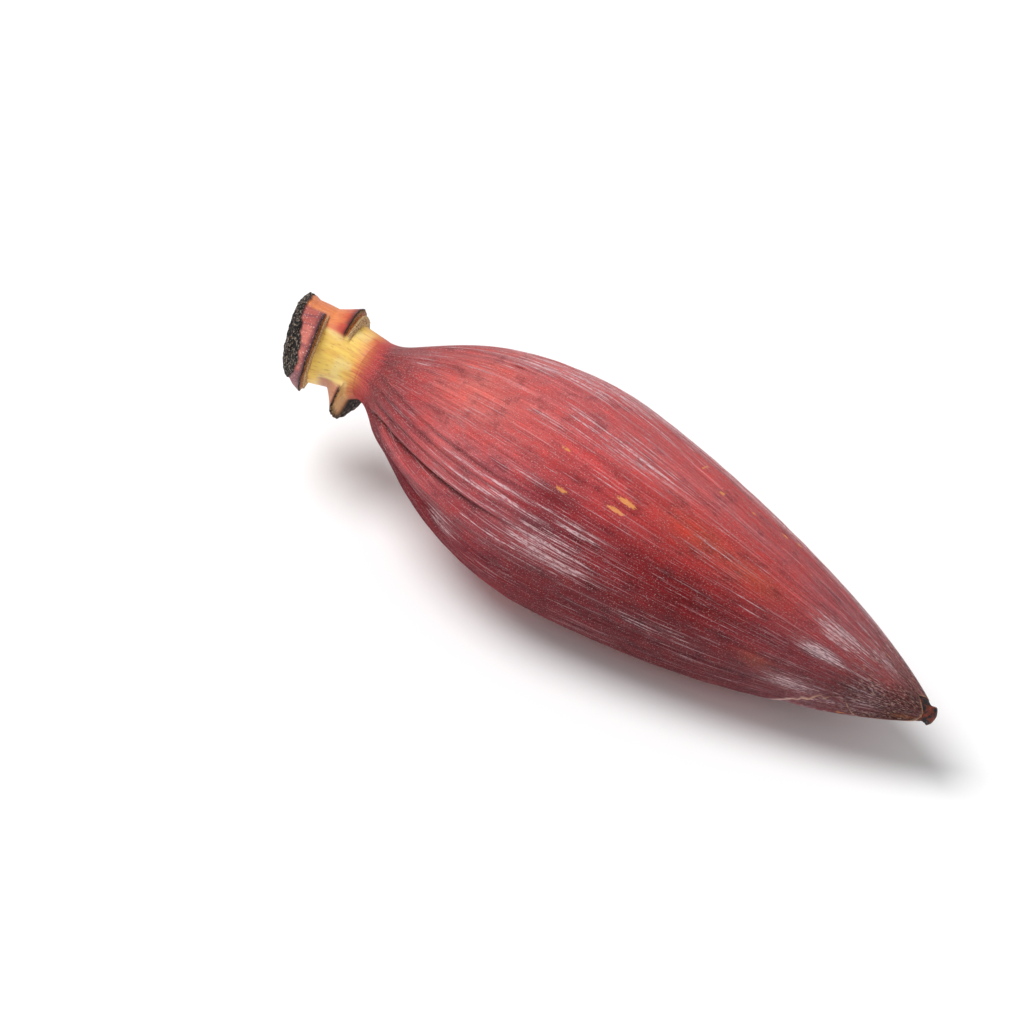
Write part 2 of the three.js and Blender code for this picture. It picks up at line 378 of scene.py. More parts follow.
# Patches of another colour on the outer bract: x, angle, reach along, reach round, colour, strength.
OUTER_PATCHES = (
    (34, 85, 26, 4.5, (190, 84, 88), 0.8),
    (52, 2, 16, 5, (196, 76, 66), 0.5),
    (56, -4.5, 3, 1.6, (140, 26, 30), 0.9),
    (78, -20, 4, 2, (190, 44, 44), 0.6),
    (100, 47, 9, 5, (96, 26, 34), 0.6),
    (101, 63, 10, 5, (84, 32, 44), 0.7),
    (150, 22, 14, 9, (182, 84, 56), 0.42),
    (174, 24, 9, 8, (184, 88, 60), 0.42),
    (187, 78, 6, 6, (150, 78, 62), 0.5),
    (170, 4, 18, 10, (178, 62, 60), 0.4),
    (206, 46, 6, 5, (92, 90, 98), 0.6),
    (206, 74, 9, 8, (92, 34, 40), 0.5),
    (238, 22, 4.0, 30, (66, 56, 48), 0.6),
    (222, 66, 8, 14, (70, 36, 38), 0.6),
    (237, 98, 3.5, 10, (190, 112, 52), 0.6),
)
THIN_BLOOM = 0.3  # the waxy bloom that lies all over the outer bract
# Where it lies thick: x, angle, reach along, reach round, strength.
OUTER_BLOOM = (
    (101, 73, 24, 13, 1.0),
    (90, 62, 22, 4, 0.8),
    (112, 55, 24, 4, 0.75),
    (90, 44, 14, 3, 0.8),
    (112, 6, 34, 15, 0.78),
    (60, -8, 26, 4, 0.6),
    (80, 16, 20, 3, 0.5),
    (160, -20, 60, 12, 0.55),
    (62, 97, 14, 12, 0.7),
    (150, 86, 40, 16, 0.4),
    (207, 17, 14, 13, 1.1),
    (205, 45, 12, 10, 1.1),
    (200, 88, 15, 14, 0.95),
    (222, 4, 12, 14, 0.9),
    (222, 36, 12, 12, 0.5),
)
# Corky yellow flecks: x, angle, reach along, reach round, strength.
FLECKS = (
    (94, 24, 3.4, 1.2, 0.8),
    (123, 29.5, 5.4, 2.1, 1.0),
    (121, 36, 5.0, 1.7, 0.95),
    (101, 42, 3.6, 1.4, 0.9),
    (122.5, 67.5, 2.2, 1.0, 0.55),
    (149, 29.5, 3.4, 2.6, 0.42),
    (175, 29, 3.0, 4.0, 0.4),
    (187, 77, 3.0, 4.0, 0.34),
)

UPPER_STRIP = math.radians(-30)  # the strip that shows just past the outer bract's upper margin
RED_STOPS_FIRST = math.radians(45)  # the side on which the neck is yellow closest to the body
RED_REACH = 5.0  # how much further down it comes on the other side


def neck_shift(angle):
    """How much further down the neck the red reaches, away from the side where it stops first."""
    return RED_REACH * np.minimum(1 - np.cos(angle - RED_STOPS_FIRST), 1)


def shade(tint, rgb, share):
    return lerp(tint, linear(rgb), share[..., None])


def toned(x, tone):
    """The skin's colour at a distance along the body, where tone is an angle like those of TONE_ANGLES. It
    holds painted shade towards the lower side and a painted pale sheen towards the top.
    """
    at, *columns = zip(*TONES)
    tints = []
    for column in columns:
        tints.append(np.stack([np.interp(x, at, part) for part in linear(column).T], axis=-1))
    tint = tints[0]
    for before, after, following in zip(TONE_ANGLES, TONE_ANGLES[1:], tints[1:]):
        tint = lerp(tint, following, smooth(tone, before, after)[..., None])
    return tint


def base_tint(x, angle, seed, tone=None):
    """The colour from the yellow neck to the skin, before any patches."""
    shift = 1.1 * noise(angle * 8, x / 30, seed + 5) + 1.5 * noise(angle * 42, x / 8, seed + 6)
    along = x + neck_shift(angle) + shift
    tint = shade(linear(YELLOW), ORANGE, smooth(along, -16, -4))
    tint = shade(tint, ROSE, smooth(along, -10.5, -1))
    if tone is None:
        first = TONE_ANGLES[0]
        tone = first + np.degrees(np.abs(turn(angle, math.radians(first))))
    return lerp(tint, toned(x, tone), smooth(along, -2.5, 4)[..., None])


def patched(tint, x, angle, patches):
    for *where, rgb, strength in patches:
        tint = shade(tint, rgb, strength * smooth(x, -1, 4) * blob(x, angle, *where))
    return tint


def strongest(x, angle, blobs):
    """The strength of the strongest of these blobs at each place."""
    return np.maximum.reduce([strength * blob(x, angle, *where) for *where, strength in blobs])


def scattered(x, angle, seed):
    """The colours of the bracts that have no patches of their own, with cream streaks near their bases."""
    tone = 40 + 60 * noise(angle * 1.6, x / 45, seed + 7) + 22 * noise(angle * 5, x / 30, seed + 8)
    in_tear = smooth(np.abs(turn(angle, math.radians(130))), 0.9, 0.5)
    tone = np.maximum(tone, 90 * smooth(x, 180, 195) * in_tear)
    # Along the upper strip the bracts take the top's tone, with its painted pale sheen.
    on_strip = smooth(np.abs(turn(angle, UPPER_STRIP)), 0.7, 0.3)
    tone = lerp(np.clip(tone, 0, 100), 4, on_strip)
    tint = base_tint(x, angle, seed, tone)
    streak = noise(angle * 9, x / 80, seed + 9) + 0.4 * noise(angle * 28, x / 50, seed + 11)
    cream = 0.5 * smooth(streak, 0.25, 0.9) * stretch(x, -2, 8, 12, 60)
    return shade(tint, CREAM, cream)


# ---- meshes


def make_piece(name, points, values, material, replaces):
    """One mesh from closed rows of points, with the values that its material reads at each point."""
    rows, sides = points.shape[:2]
    points = points.reshape(-1, 3)
    points[:, 2] = np.maximum(points[:, 2], 0)
    mesh = bpy.data.meshes.new(name)
    mesh.from_pydata((points * MM).tolist(), [], ring_faces(rows, sides))
    mesh.polygons.foreach_set("use_smooth", [True] * len(mesh.polygons))
    for key, data in values.items():
        kind, field = ("FLOAT", "value") if data.ndim == 2 else ("FLOAT_VECTOR", "vector")
        layer = mesh.attributes.new(key, kind, "POINT")
        layer.data.foreach_set(field, data.astype(np.float32).ravel())
    mesh.materials.append(material)
    piece = bpy.data.objects.new(name, mesh)
    bpy.context.scene.collection.objects.link(piece)
    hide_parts(replaces)
    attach(piece, "root")


def ring_faces(rows, sides):
    """Quads between closed rings, with one face over each end."""
    ring = np.arange(sides)
    after = (ring + 1) % sides
    starts = np.arange(rows - 1)[:, None] * sides
    near, far = starts + ring, starts + after
    quads = np.stack([near, far, far + sides, near + sides], axis=-1)
    last = (rows - 1) * sides
    return [*quads.reshape(-1, 4).tolist(), list(range(sides))[::-1], list(range(last, last + sides))]


COLUMNS = 300  # on the outside of a bract
INNER_COLUMNS = 40
ROW_STEP = 1.25
FINE_ROW_STEP = 0.5
FINE_ROWS_FROM = 188
APEX_ROWS = 12


def rounded_off(start, length, rows):
    """Rows that get closer towards the end of a rounded stretch."""
    return start + length * np.sin(np.linspace(0, np.pi / 2, rows))


def bract_rows(bract):
    apex = bract["end"] - APEX_LENGTH
    plain = np.arange(BRACT_BASE, FINE_ROWS_FROM, ROW_STEP)
    fine = np.arange(FINE_ROWS_FROM, apex, FINE_ROW_STEP)
    return np.concatenate([plain, fine, rounded_off(apex, APEX_LENGTH, APEX_ROWS)])


def bract_surface(bract, layer):
    """Rows of places over the outside of a bract and back along its inside: x, angle and radius."""
    rows = bract_rows(bract)
    low, high = margins(bract, rows)
    across = np.concatenate([np.linspace(0, 1, COLUMNS), np.linspace(1, 0, INNER_COLUMNS)])
    angle = math.radians(bract["middle"]) + lerp(-low[:, None], high[:, None], across)
    x = rows[:, None] + 0 * angle
    outer = skin_radius(layer, x[:, :COLUMNS], angle[:, :COLUMNS], bract["seed"])
    inner_x, inner_angle = x[:, COLUMNS:], angle[:, COLUMNS:]
    inner = under_bracts(layer, inner_x, inner_angle, lobed(inner_x, inner_angle))
    inner = inner - thickness(bract, inner_x, inner_angle)
    return x, angle, np.concatenate([outer, inner], axis=1)


def outer_look(x, angle, seed):
    """The tint, bloom and flecks of the outer bract."""
    tint = patched(base_tint(x, angle, seed), x, angle, OUTER_PATCHES)
    tint = lerp(tint, tint * 0.35, np.clip(fold_shadow(x, angle), 0, 1)[..., None])
    near_tip = smooth(x, 175, 212) * (0.38 + 0.25 * noise(angle * 2.5, x / 14, seed + 10))
    on_ridges = 0.9 * fold_ridge(x, angle)
    bloom = np.maximum.reduce([strongest(x, angle, OUTER_BLOOM), near_tip, on_ridges])
    return tint, np.maximum(bloom, THIN_BLOOM), strongest(x, angle, FLECKS)


def other_look(x, angle, seed):
    """The tint, bloom and flecks of the bracts under the outer one. Along the upper outline the bloom is
    also a painted pale sheen.
    """
    clouds = 0.35 + 0.6 * np.maximum(noise(angle * 1.7, x / 30, seed + 10), 0)
    near_tip = 0.5 * smooth(x, 180, 205)
    # Thick bloom along the upper outline: waxy bloom, and also a painted pale sheen of grazing light.
    beside = turn(angle, UPPER_STRIP)
    bloom_and_rim_sheen = 0.95 * smooth(beside, 0.05, -0.2) * smooth(beside, -1.1, -0.5) * smooth(x, 40, 70)
    bloom = np.maximum.reduce([clouds, near_tip, bloom_and_rim_sheen])
    fleck = 0.9 * smooth(noise(angle * 9, x / 6, seed + 12), 0.8, 0.95)
    return scattered(x, angle, seed), bloom, fleck


def pale_rim(bract, x, angle):
    """1 on the thin dry edge of a bract. It is widest where the outer bract is torn."""
    is_outer = bract is BRACTS["outer_bract"]
    low_side = smooth(turn(angle, math.radians(bract["middle"])), 0.3, 0.6)
    torn = is_outer * low_side * smooth(x, TEAR_START, TEAR_START + 8)
    inside = -outside(bract, x, angle) + 0.25 * noise(angle * 30, x / 2.2, bract["seed"] + 13)
    at_end = smooth(x, bract["end"] - 4, bract["end"] - 2)
    shown = np.maximum.reduce([0.9 * stretch(x, 10, 24, 80, 120), torn, at_end])
    return (1 - smooth(inside, 0.1, 0.8 + 1.2 * torn)) * shown


def bract_piece(name, layer, material):
    """A bract, with the colours and marks that its material reads."""
    bract = BRACTS[name]
    seed = bract["seed"]
    x, angle, radius = bract_surface(bract, layer)
    tint, bloom, fleck = (other_look if layer else outer_look)(x, angle, seed)
    values = {
        "tint": tint,
        "grain": np.stack([angle * BODY_RADIUS, 0 * x + seed, x], axis=-1),
        "bloom": bloom * smooth(x, 2, 20),
        "fleck": fleck,
        "rim": pale_rim(bract, x, angle),
        "specks": smooth(x, -8, 0) * (1 - 0.65 * smooth(x, 12, 40)),
        "flesh": 1 - smooth(x, -6, 3),
        "crust": smooth(x, 208, 236) * smooth(noise(angle * 5, x / 9, seed + 14), -0.8, 0.1),
        "tip": smooth(x, 185, 215),
        "matt": 0.9 * smooth(np.abs(turn(angle, 0)), 1.3, 1.75),
    }
    make_piece(name + "_skin", point_at(x, angle, radius), values, material, name)


BUD_SIDES = 180
BUD_END = BODY_LENGTH + 1.4
BUD_CLOSING = 2.2  # the stretch over which the tip is rounded off
BUD_FINE_FROM = 224
TIP_RADIUS = 3.3
TIP_STARTS = (BODY_LENGTH - 3.5, BODY_LENGTH - 1.2)


def bud_piece(material):
    """The bud inside the bracts, with its dry crumbled tip."""
    closes = BUD_END - BUD_CLOSING
    hidden, shown = np.arange(1, BUD_FINE_FROM, 4.0), np.arange(BUD_FINE_FROM, closes, 0.35)
    rows = np.concatenate([hidden, shown, rounded_off(closes, BUD_CLOSING, 9)])
    angle = np.linspace(0, 2 * np.pi, BUD_SIDES, endpoint=False)[None, :] + 0 * rows[:, None]
    x = rows[:, None] + 0 * angle
    radius = under_bracts(len(BRACTS), x, angle, lobed(np.minimum(x, BODY_LENGTH), angle))
    crumbs = 0.5 * around(angle, 7, x / 2.2, 71) + 0.25 * around(angle, 22, x / 0.9, 72)
    radius = lerp(radius, TIP_RADIUS + crumbs, smooth(x, *TIP_STARTS))
    end = np.clip((x - closes) / BUD_CLOSING, 0, 1)
    radius = np.maximum(radius * np.sqrt(1 - 0.92 * end**2), 0.4)
    values = {"grain": np.stack([radius * np.cos(angle), radius * np.sin(angle), x], axis=-1)}
    make_piece("bud_tip", point_at(x, angle, radius), values, material, "inner_bud")


# ---- the stalk

# Scars of pulled-off bracts, as in the CAD model. A scar stands out on one side of the stalk. The skin
# flares out to its rim, and its broken face drops from there to the neck, on the side towards the body.
SCARS = (
    dict(rim=13.0, face=6.0, flare=9.0, lean=0.14, middle=165, half=76, height=10.0),
    dict(rim=21.0, face=3.4, flare=9.0, lean=0.32, middle=-75, half=107, height=4.6),
    dict(rim=33.0, face=2.2, flare=9.0, lean=0.46, middle=88, half=95, height=3.7),
)
LOW_SCAR, NEAR_SCAR, FAR_SCAR = SCARS
STALK_SIDES = 400
STALK_ROW_STEP = 0.22
CAP_ROWS = 12


def scar_share(scar, angle):
    """How much of its full height a scar has at this angle, with a ragged edge."""
    away = np.abs(turn(angle, math.radians(scar["middle"])))
    half = math.radians(scar["half"])
    seed = int(scar["rim"])
    ragged = 1 + 0.10 * around(angle, 34, 0.5, seed) + 0.05 * around(angle, 90, 0.5, seed)
    return (1 - smooth(away, half * 0.6, half)) * ragged


def scar_profile(scar, past):
    """A scar's outline from its foot to its rim, and down its flare, at distances past its rim."""
    before = np.clip(1 + past / scar["face"], 0, 1)
    after = np.clip(1 - (past - 0.5) / (scar["flare"] - 0.5), 0, 1) ** 1.15
    if scar is LOW_SCAR:
        face = 0.3 * before + 0.7 * smooth(before, 0.72, 1)
    else:
        face = 0.62 * smooth(before, 0.0, 0.35) + 0.12 * smooth(before, 0.45, 0.8)
        face = face + 0.26 * smooth(before, 0.84, 0.97)
    return np.where(past < 0, face, after)


def scar_rim(scar, angle):
    """The distance of a scar's wavy rim from the bract bases."""
    return scar["rim"] + 0.3 * around(angle, 26, 1.5, int(scar["rim"]))


def scar_height(scar, distance, angle):
    return scar["height"] * scar_share(scar, angle) * scar_profile(scar, distance - scar_rim(scar, angle))


def plain_stalk_radius(distance):
    """The stalk's radius without its scars. Near the bract bases it follows the body's flare."""
    neck = lerp(NECK_RADIUS, CUT_RADIUS, smooth(distance, 4, STALK_LENGTH))
    return np.maximum(neck, body_radius(np.minimum(-distance, 0)) * (1 - smooth(distance, 6, 12)))


def stalk_radius(distance, angle):
    """The stalk's radius with its scars. It draws in under the bract bases, and widens at the cut."""
    radius = plain_stalk_radius(distance)
    radius = radius + np.maximum.reduce([scar_height(scar, distance, angle) for scar in SCARS])
    under_bases = 1 - smooth(distance, -BRACT_BASE - 0.4, -BRACT_BASE + 0.4)
    radius = radius - under_bases * (GAP + 1.6 * smooth(-distance, BRACT_BASE, 0))
    cut = CUT_RADIUS + CUT_BULGE * np.cos(angle - CUT_SIDE)
    end = smooth(distance, STALK_LENGTH - 6, STALK_LENGTH - 3)
    return lerp(radius, np.maximum(cut, radius - 1), end)


LEAN_START = 8.0  # nearer to the body the rings are square to its axis, like the bracts
TURN_STARTS = (7.0, 14.0)


def leaning(distance, angle):
    """How far a ring of the stalk leans towards the body at this angle, as a share of its radius."""
    at = [LEAN_START, *(scar["rim"] for scar in SCARS), STALK_LENGTH]
    lean = np.interp(distance, at, [0, *(scar["lean"] for scar in SCARS), CUT_LEAN])
    turned = SECTION_TURN * distance * smooth(distance, *TURN_STARTS)
    return turned * np.cos(angle - BEND_TOWARDS) + lean * np.cos(angle - LEAN_TOWARDS)


FRONT = math.radians(80)
PALE_FLESH = (252, 232, 164)
BROWN_FIBRE = (214, 142, 76)


def flesh_tint(distance, angle, streak, cloud):
    """The yellow neck, which passes into the skin's colours where the bracts begin."""
    tint = base_tint(-distance, angle, BRACTS["outer_bract"]["seed"])
    tint = shade(tint, PALE_FLESH, 0.6 * smooth(cloud, 0.35, 0.9) * smooth(distance, 9, 12))
    return shade(tint, BROWN_FIBRE, 0.45 * streak * streak * smooth(distance, 7, 10))


def on_scar(scar, distance, angle):
    """How far past a scar's rim a place is, and 1 where the scar's own skin covers it."""
    past = distance - scar_rim(scar, angle)
    return past, smooth(scar_share(scar, angle), 0.05, 0.3) * smooth(past, -0.2, 0.4)


def low_scar_tint(tint, distance, angle):
    """Brownish pink skin that fades out down the stalk."""
    past, covered = on_scar(LOW_SCAR, distance, angle)
    covered = covered * (1 - smooth(distance, 23, 28))
    tint = shade(tint, (190, 124, 104), 0.9 * covered)
    return shade(tint, (112, 62, 50), covered * (1 - smooth(past, 0.5, 2.5)))


def near_scar_tint(tint, distance, angle, streak):
    """Orange skin, red and then dark towards the rim."""
    past, covered = on_scar(NEAR_SCAR, distance, angle)
    tint = shade(tint, (232, 142, 88), covered)
    redness = 0.95 - 0.75 * smooth(past, 2, 8) + 0.5 * (streak - 0.5)
    tint = shade(tint, (196, 70, 52), covered * np.clip(redness, 0, 1))
    return shade(tint, (98, 36, 40), covered * (1 - smooth(past + 1.2 * streak, 0.8, 4)))


def far_scar_tint(tint, distance, angle, streak, cloud):
    """Pink and mauve skin, mauve mostly on its lower side and dark at the rim."""
    past, covered = on_scar(FAR_SCAR, distance, angle)
    tint = shade(tint, (178, 84, 74), covered)
    tint = shade(tint, (206, 116, 104), covered * smooth(cloud, 0.5, 0.9))
    tint = shade(tint, (122, 58, 70), covered * smooth(streak, 0.45, 0.9) * 0.7)
    below = smooth(turn(angle, FRONT), -0.3, 0.3)
    tint = shade(tint, (134, 76, 88), covered * (0.25 + 0.6 * below) * smooth(cloud, 0.8, 0.3))
    return shade(tint, (92, 44, 54), covered * (1 - smooth(past + 0.8 * streak, 0.6, 3.2)))


def stalk_tint(distance, angle):
    streak = 0.5 + 0.5 * around(angle, 84, distance / 11, 51)
    cloud = 0.5 + 0.5 * around(angle, 18, distance / 6, 52)
    tint = flesh_tint(distance, angle, streak, cloud)
    tint = low_scar_tint(tint, distance, angle)
    tint = near_scar_tint(tint, distance, angle, streak)
    return far_scar_tint(tint, distance, angle, streak, cloud)


CHAR_WIDTH = 3.6  # the charred band at the cut
CHAR_WIDENS = 3.8  # how much wider it is in front
CHAR_SPREAD = 30.0  # how far round that reaches, in degrees


def stalk_char_and_shade(distance, angle):
    """1 where the stalk is burnt black: a ragged band at the cut. It is 1 as well in the hollow under the
    low scar, where the same black colours are painted shade.
    """
    in_front = np.exp(-((np.degrees(turn(angle, FRONT)) / CHAR_SPREAD) ** 2))
    band = STALK_LENGTH - CHAR_WIDTH - CHAR_WIDENS * in_front
    band = band + 1.0 * around(angle, 20, 0.5, 61) + 0.5 * around(angle, 60, 0.5, 60)
    burnt = smooth(distance, band - 0.5, band + 0.5)
    # Painted shade: the hollow under the low scar gets the cut's black colours.
    hollow = smooth(distance, 7, 9.5) * smooth(scar_rim(LOW_SCAR, angle) - distance, -0.6, 0.2)
    beside = np.abs(turn(angle, math.radians(LOW_SCAR["middle"])))
    return np.maximum(burnt, hollow * (1 - smooth(beside, 0.3, 0.6)))


def face_masks(distance, angle):
    """Where the scars' broken faces show cork, a groove and a dark rim."""
    cork, groove, rim = 0 * distance, 0 * distance, 0 * distance
    for scar in SCARS:
        past = distance - scar_rim(scar, angle)
        shown = smooth(scar_share(scar, angle), 0.08, 0.35)
        up = np.clip(1 + past / scar["face"], 0, 1)
        rim = rim + shown * smooth(up, 0.88, 0.96) * (1 - smooth(past, 0.4, 0.9))
        if scar is not LOW_SCAR:
            cork = cork + shown * smooth(up, 0.02, 0.08) * (past < 0) * (1 - smooth(up, 0.5, 0.62))
            groove = groove + shown * smooth(up, 0.5, 0.62) * (past < 0.1) * (1 - smooth(up, 0.9, 0.96))
    return np.clip(cork, 0, 1), np.clip(groove, 0, 1), np.clip(rim, 0, 1)


def stalk_relief(distance, angle, char_and_shade, corky):
    """Crumbs on the burnt band at the cut and in the shaded hollow under the low scar, pits in the cork and
    faint ribs on the skin.
    """
    burnt = 0.55 * around(angle, 34, distance / 2.2, 62) + 0.4 * around(angle, 80, distance, 63)
    pits = 0.26 * around(angle, 110, distance / 0.7, 64)
    skin = 0.09 * around(angle, 70, distance / 14, 65) + 0.12 * around(angle, 24, distance / 9, 68)
    return char_and_shade * burnt + corky * pits + skin * smooth(distance, 7, 10)


def stalk_rows():
    """Distances from the bract bases, from the cut inwards, and how far the cap has closed in each row."""
    along = np.arange(-4, STALK_LENGTH, STALK_ROW_STEP)[::-1]
    distance = np.concatenate([np.full(CAP_ROWS, STALK_LENGTH), along])
    closing = np.concatenate([np.linspace(1, 0.08, CAP_ROWS), 0 * along])
    return distance[:, None], closing[:, None]


CUT_ROUNDING = 1.4  # how far the stalk draws in at the edge of its cut
CUT_DOME = 0.9  # how far the cut face bulges


def stalk_piece(material):
    """The stalk, with the colours and marks that its material reads."""
    distance, closing = stalk_rows()
    angle = np.linspace(0, 2 * np.pi, STALK_SIDES, endpoint=False)[None, :] + 0 * distance
    distance = distance + 0 * angle
    cork, groove, rim = face_masks(distance, angle)
    char_and_shade = stalk_char_and_shade(distance, angle)
    side = stalk_radius(distance, angle)
    side = side - CUT_ROUNDING * smooth(distance, STALK_LENGTH - 1.6, STALK_LENGTH)
    side = side + stalk_relief(distance, angle, char_and_shade, cork + 0.5 * groove)
    radius = np.maximum(side * np.sqrt(1 - closing), 0.05)
    across, up = radius * np.cos(angle), radius * np.sin(angle)
    crust = 0.8 * noise(across / 2.3, up / 2.3, 66) + 0.5 * noise(across / 0.9, up / 0.9, 67)
    x = leaning(distance, angle) * radius - distance - np.sqrt(closing) * (CUT_DOME + crust)
    values = {
        "tint": stalk_tint(distance, angle),
        "grain": np.stack([across, up, distance], axis=-1),
        "cork": cork,
        "groove": groove,
        "rim": rim,
        "char_and_shade": char_and_shade,
        "specks": np.maximum(smooth(distance, 30, 33), 1 - smooth(distance, 3, 8)),
    }
    make_piece("stalk_stump", point_at(x, angle, radius), values, material, "stalk")


# ---- materials


MIX_A, MIX_B, MIX_RESULT = 6, 7, 2  # the sockets for colours on a mix node


class Graph:
    """A material's nodes, made one by one from plain calls."""

    def __init__(self, name):
        self.material = bpy.data.materials.new(name)
        self.material.use_nodes = True
        self.tree = self.material.node_tree
        self.shader = self.tree.nodes["Principled BSDF"]

    def plug(self, value, socket):
        """Link a socket to this one, or set it to a number or a colour."""
        if isinstance(value, bpy.types.NodeSocket):
            self.tree.links.new(value, socket)
        elif isinstance(value, (tuple, list)) and len(value) == 3 and socket.type == "RGBA":
            socket.default_value = (*value, 1)
        else:
            socket.default_value = value

    def value(self, name, output="Fac"):
        node = self.tree.nodes.new("ShaderNodeAttribute")
        node.attribute_name = name
        return node.outputs[output]

    def vector(self, name):
        return self.value(name, "Vector")

    def stretched(self, vector, scale):
        node = self.tree.nodes.new("ShaderNodeVectorMath")
        node.operation = "MULTIPLY"
        self.plug(vector, node.inputs[0])
        node.inputs[1].default_value = scale
        return node.outputs[0]

    def noise(self, vector, scale, detail, rough=0.55):
        """Noise from 0 to 1 with one bump for about each unit of the vector times the scale."""
        node = self.tree.nodes.new("ShaderNodeTexNoise")
        self.plug(self.stretched(vector, scale), node.inputs["Vector"])
        node.inputs["Scale"].default_value = 1
        node.inputs["Detail"].default_value = detail
        node.inputs["Roughness"].default_value = rough
        return node.outputs["Fac"]

    def math(self, operation, a, b):
        node = self.tree.nodes.new("ShaderNodeMath")
        node.operation = operation
        self.plug(a, node.inputs[0])
        self.plug(b, node.inputs[1])
        return node.outputs[0]

    def plus(self, a, b):
        return self.math("ADD", a, b)

    def times(self, a, b):
        return self.math("MULTIPLY", a, b)

    def larger(self, a, b):
        return self.math("MAXIMUM", a, b)

    def ranged(self, value, low, high, to_low=0.0, to_high=1.0):
        """A soft step from to_low, where the value is low, to to_high."""
        node = self.tree.nodes.new("ShaderNodeMapRange")
        node.interpolation_type = "SMOOTHSTEP"
        given = {"Value": value, "From Min": low, "From Max": high, "To Min": to_low, "To Max": to_high}
        for socket, part in given.items():
            self.plug(part, node.inputs[socket])
        return node.outputs[0]

    def mix(self, share, a, b, blend="MIX"):
        node = self.tree.nodes.new("ShaderNodeMix")
        node.data_type = "RGBA"
        node.blend_type = blend
        self.plug(share, node.inputs["Factor"])
        self.plug(a, node.inputs[MIX_A])
        self.plug(b, node.inputs[MIX_B])
        return node.outputs[MIX_RESULT]

    def bump(self, height, distance, normal=None):
        node = self.tree.nodes.new("ShaderNodeBump")
        node.inputs["Strength"].default_value = 1
        node.inputs["Distance"].default_value = distance
        self.plug(height, node.inputs["Height"])
        if normal is not None:
            self.plug(normal, node.inputs["Normal"])
        return node.outputs[0]

    def finish(self, base, roughness, normal):
        self.plug(base, self.shader.inputs["Base Color"])
        self.plug(roughness, self.shader.inputs["Roughness"])
        self.plug(normal, self.shader.inputs["Normal"])
        return self.material


def colour(rgb):
    return tuple(float(c) for c in linear(rgb))


BLOOM_WHITE = (224, 186, 190)
SPECK_WHITE = (238, 214, 210)
FLECK_YELLOW = (226, 148, 84)
RIM_TAN = (204, 158, 130)
WARM_RED = (220, 98, 76)
CRUST_DARK = (54, 20, 24)
CRUST_LIGHT = (214, 180, 160)

# A lighter and a darker shade, as shares of a colour's red, green and blue.
LIGHTER = (1.38, 1.62, 1.57)
DARKER = (0.6, 0.5, 0.54)

# The skin's patterns: bumps for each millimetre round the body and along it, detail and roughness.
SKIN_PATTERNS = {
    "mottle": (0.15, 0.10, 5, 0.65),
    "wide": (0.28, 0.012, 3, 0.55),
    "streak": (0.8, 0.02, 3, 0.6),
    "fine": (2.0, 0.045, 3, 0.6),
    "dashes": (2.6, 0.3, 2, 0.6),
    "pores": (2.2, 1.4, 3, 0.65),
    "ragged": (1.6, 0.7, 5, 0.8),
    "patchy": (0.5, 0.03, 3, 0.55),
    "narrow": (1.4, 0.03, 3, 0.65),
    "broken": (1.5, 0.5, 3, 0.65),
    "threads": (1.5, 0.028, 3, 0.7),
    "dots": (2.1, 1.7, 2, 0.65),
    "crumbs": (0.6, 0.6, 5, 0.75),
    "cracked": (1.2, 0.8, 4, 0.55),
}
# Patterns that mottle and streak the skin, with how strongly each darkens and lightens it.
STREAKS = (("mottle", 0.75, 0.2), ("wide", 0.4, 0.35), ("streak", 0.4, 0.45), ("fine", 0.4, 0.5))


def streaked_skin(g, patterns):
    """The skin's own colour with mottling, lengthwise streaks and pores, which stop at the neck's flesh."""
    warm = g.ranged(patterns["mottle"], 0.42, 0.7, 0, 0.4)
    base = g.mix(warm, g.vector("tint"), colour(WARM_RED), "SOFT_LIGHT")
    for name, dark, light in STREAKS:
        base = g.mix(g.ranged(patterns[name], 0.48, 0.35, 0, dark), base, g.stretched(base, DARKER))
        base = g.mix(g.ranged(patterns[name], 0.53, 0.66, 0, light), base, g.stretched(base, LIGHTER))
    base = g.mix(g.ranged(patterns["dashes"], 0.56, 0.68, 0, 0.6), base, g.stretched(base, LIGHTER))
    base = g.mix(g.ranged(patterns["pores"], 0.46, 0.36, 0, 0.75), base, g.stretched(base, DARKER))
    return g.mix(g.value("flesh"), base, g.vector("tint"))


def flecked(g, patterns, base):
    """Corky yellow flecks with ragged outlines."""
    fleck = g.plus(g.value("fleck"), g.times(patterns["ragged"], 1.7))
    return g.mix(g.ranged(fleck, 1.42, 1.5, 0, 0.95), base, colour(FLECK_YELLOW))


def wax_cover(g, patterns):
    """How thickly the waxy bloom covers the skin, mostly in lines along the ribs."""
    bloom, tip = g.value("bloom"), g.value("tip")
    patchy = g.times(patterns["patchy"], 0.3)
    strands = g.plus(patchy, g.times(patterns["narrow"], 0.75))
    broken = g.times(g.times(patterns["broken"], tip), 0.35)
    dust = g.math("SUBTRACT", g.times(bloom, 0.22), g.times(tip, 0.17))
    wax = g.ranged(g.plus(dust, g.plus(strands, broken)), 0.68, 0.75, 0, 0.9)
    wax = g.times(wax, g.ranged(patterns["broken"], 0.38, 0.54, 0.25, 1))
    wax = g.larger(wax, g.times(bloom, g.ranged(patterns["threads"], 0.58, 0.64)))
    return g.larger(wax, g.times(g.math("SUBTRACT", bloom, THIN_BLOOM), 0.12))


def speckled(g, patterns, base):
    """Fine pale specks, most of them near the neck."""
    share = g.plus(g.value("specks"), 0.09)
    share = g.times(share, g.ranged(patterns["dots"], 0.60, 0.66, 0, 0.85))
    return g.mix(share, base, colour(SPECK_WHITE))


